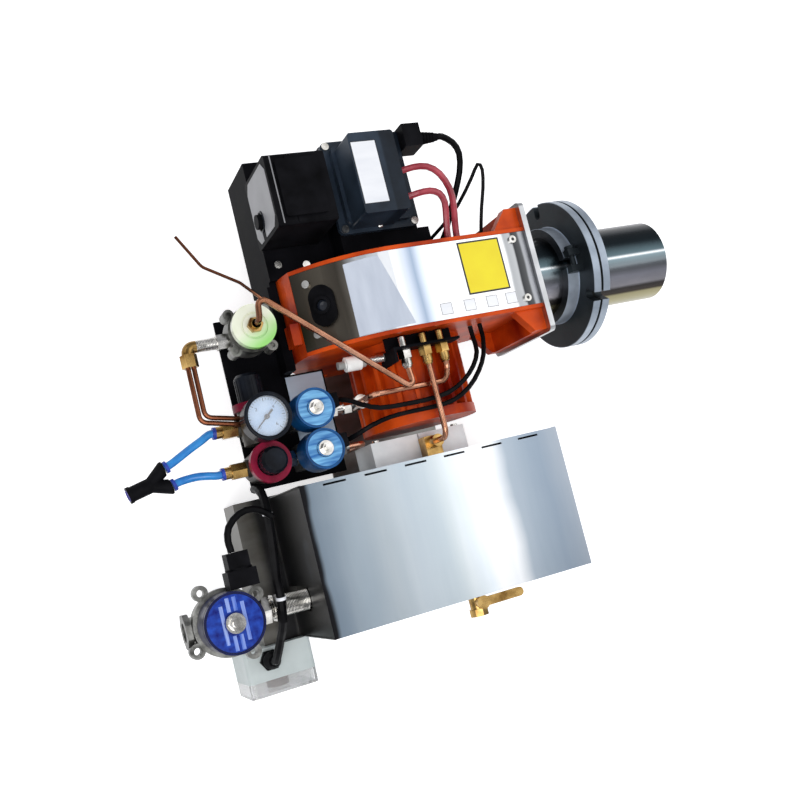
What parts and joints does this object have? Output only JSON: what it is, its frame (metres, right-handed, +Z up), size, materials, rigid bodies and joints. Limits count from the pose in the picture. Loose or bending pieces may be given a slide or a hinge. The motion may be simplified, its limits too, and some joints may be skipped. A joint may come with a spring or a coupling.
{
  "type": "waste oil burner",
  "caption": "Forced-draught waste oil burner with sliding tube flange, heated oil tank, air regulators and gauge, solenoid valves, ignition transformer and control box.",
  "frame": {"origin": "on the blast tube axis, in the plane of the flange face that meets the boiler", "axes": "+X along the blast tube into the boiler, +Y towards the transformer side, +Z up"},
  "size_m": [0.6332, 0.5373, 0.2325],
  "materials": {
    "orange_paint": "satin",
    "zinc_steel": "satin",
    "polished_stainless": "polished",
    "black_plastic": "matte",
    "light_grey_metal": "satin",
    "dark_iron": "matte",
    "brass": "polished",
    "white_ceramic": "glossy",
    "flange_iron": "machined",
    "gasket_grey": "matte",
    "nickel": "polished",
    "black_metal": "satin",
    "slate_plastic": "matte",
    "crimson_rubber": "satin",
    "black_rubber": "satin",
    "white_plastic": "glossy",
    "copper": "polished",
    "cast_metal": "cast",
    "pale_green_plastic": "glossy",
    "crimson_plastic": "glossy",
    "gloss_black": "glossy",
    "dial_white": "matte",
    "clear_glass": "clear",
    "light_blue_plastic": "glossy",
    "blue_hose": "glossy",
    "tray_stainless": "brushed",
    "brushed_stainless": "brushed",
    "orange_plastic": "matte",
    "royal_blue_plastic": "glossy",
    "grey_plastic": "matte",
    "clear_plastic": "clear",
    "brown_plastic": "matte"
  },
  "bodies": {
    "burner": {"burner_housing": "orange_paint", "end_plate": "zinc_steel", "top_cover": "polished_stainless", "sight_bezel": "black_plastic", "motor_body": "orange_paint", "junction_box": "light_grey_metal", "blast_tube": "polished_stainless", "diffuser_disc": "dark_iron", "nozzle_lance": "brass", "electrodes": "white_ceramic", "screws": "nickel", "air_box": "black_metal", "control_box": "black_plastic", "transformer": "slate_plastic", "cable_glands": "black_plastic", "hv_leads": "crimson_rubber", "cable_harness": "black_rubber", "brackets": "black_metal", "copper_tubes": "copper", "oil_line": "copper", "brass_fittings": "brass", "nickel_fittings": "nickel", "oil_regulator": "cast_metal", "regulator_cap": "pale_green_plastic", "air_regulators": "cast_metal", "regulator_rings": "crimson_plastic", "gauge_case": "gloss_black", "gauge_dial": "dial_white", "gauge_lens": "clear_glass", "valve_bodies": "cast_metal", "air_valve_coils": "light_blue_plastic", "coil_nuts": "nickel", "hose_1": "blue_hose", "hose_2": "blue_hose", "y_connector": "black_plastic", "base_tray": "tray_stainless", "tank_jacket": "brushed_stainless", "oil_tank": "tray_stainless", "heater": "dark_iron", "oil_valve_coil": "royal_blue_plastic", "drain_valve": "brass", "enclosure": "grey_plastic", "clear_lid": "clear_plastic"},
    "flange": {"sliding_flange": "flange_iron", "flange_gasket": "gasket_grey", "counter_flange": "flange_iron"},
    "fan": {"fan_wheel": "zinc_steel", "motor_shaft": "zinc_steel"},
    "damper": {"air_damper": "zinc_steel"},
    "reset": {"reset_button": "black_plastic"},
    "adjuster": {"adjust_rod": "white_plastic"},
    "knob_upper": {"knob_1": "gloss_black"},
    "knob_lower": {"knob_2": "gloss_black"},
    "needle": {"gauge_needle": "gloss_black"},
    "valve_plunger_1": {"plunger_1": "zinc_steel"},
    "valve_plunger_2": {"plunger_2": "zinc_steel"},
    "oil_valve_plunger": {"oil_plunger": "zinc_steel"},
    "float": {"tank_float": "orange_plastic"},
    "drain_handle": {"drain_lever": "brass"},
    "thermostat": {"thermostat_knob": "brown_plastic"}
  },
  "joints": [
    {"name": "flange_slide", "type": "slide", "parent": "burner", "child": "flange", "axis": [1, 0, 0], "range_m": [-0.035, 0.06]},
    {"name": "fan_spin", "type": "hinge", "parent": "burner", "child": "fan", "pos_m": [-0.21, 0, -0.03], "axis": [0, 1, 0], "continuous": true},
    {"name": "damper_swing", "type": "hinge", "parent": "burner", "child": "damper", "pos_m": [-0.2755, 0.1643, -0.027], "axis": [1, 0, 0], "range_deg": [-75, 0]},
    {"name": "reset_press", "type": "slide", "parent": "burner", "child": "reset", "axis": [1, 0, 0], "range_m": [0, 0.003], "stiffness_N_per_m": 300},
    {"name": "adjuster_turn", "type": "hinge", "parent": "burner", "child": "adjuster", "pos_m": [-0.28, -0.061, 0.027], "axis": [1, 0, 0], "range_deg": [0, 720]},
    {"name": "knob_upper_turn", "type": "hinge", "parent": "burner", "child": "knob_upper", "pos_m": [-0.39, -0.065, -0.008], "axis": [0, 1, 0], "range_deg": [0, 720]},
    {"name": "knob_lower_turn", "type": "hinge", "parent": "burner", "child": "knob_lower", "pos_m": [-0.39, -0.138, 0.017], "axis": [0, 0, 1], "range_deg": [0, 720]},
    {"name": "needle_sweep", "type": "hinge", "parent": "burner", "child": "needle", "pos_m": [-0.39, -0.097, 0.033], "axis": [0, 0, 1], "range_deg": [-270, 0]},
    {"name": "air_valve_1_lift", "type": "slide", "parent": "burner", "child": "valve_plunger_1", "axis": [0, 0, 1], "range_m": [0, 0.003], "stiffness_N_per_m": 200},
    {"name": "air_valve_2_lift", "type": "slide", "parent": "burner", "child": "valve_plunger_2", "axis": [0, 0, 1], "range_m": [0, 0.003], "stiffness_N_per_m": 200},
    {"name": "oil_valve_lift", "type": "slide", "parent": "burner", "child": "oil_valve_plunger", "axis": [0, 0, 1], "range_m": [0, 0.003], "stiffness_N_per_m": 200},
    {"name": "float_rise", "type": "slide", "parent": "burner", "child": "float", "axis": [0, 0, 1], "range_m": [0, 0.05]},
    {"name": "drain_turn", "type": "hinge", "parent": "burner", "child": "drain_handle", "pos_m": [-0.175, -0.334, -0.0627], "axis": [0, 0, 1], "range_deg": [-90, 0]},
    {"name": "thermostat_turn", "type": "hinge", "parent": "burner", "child": "thermostat", "pos_m": [-0.404, -0.35, -0.1167], "axis": [0, 1, 0], "range_deg": [0, 270]}
  ]
}
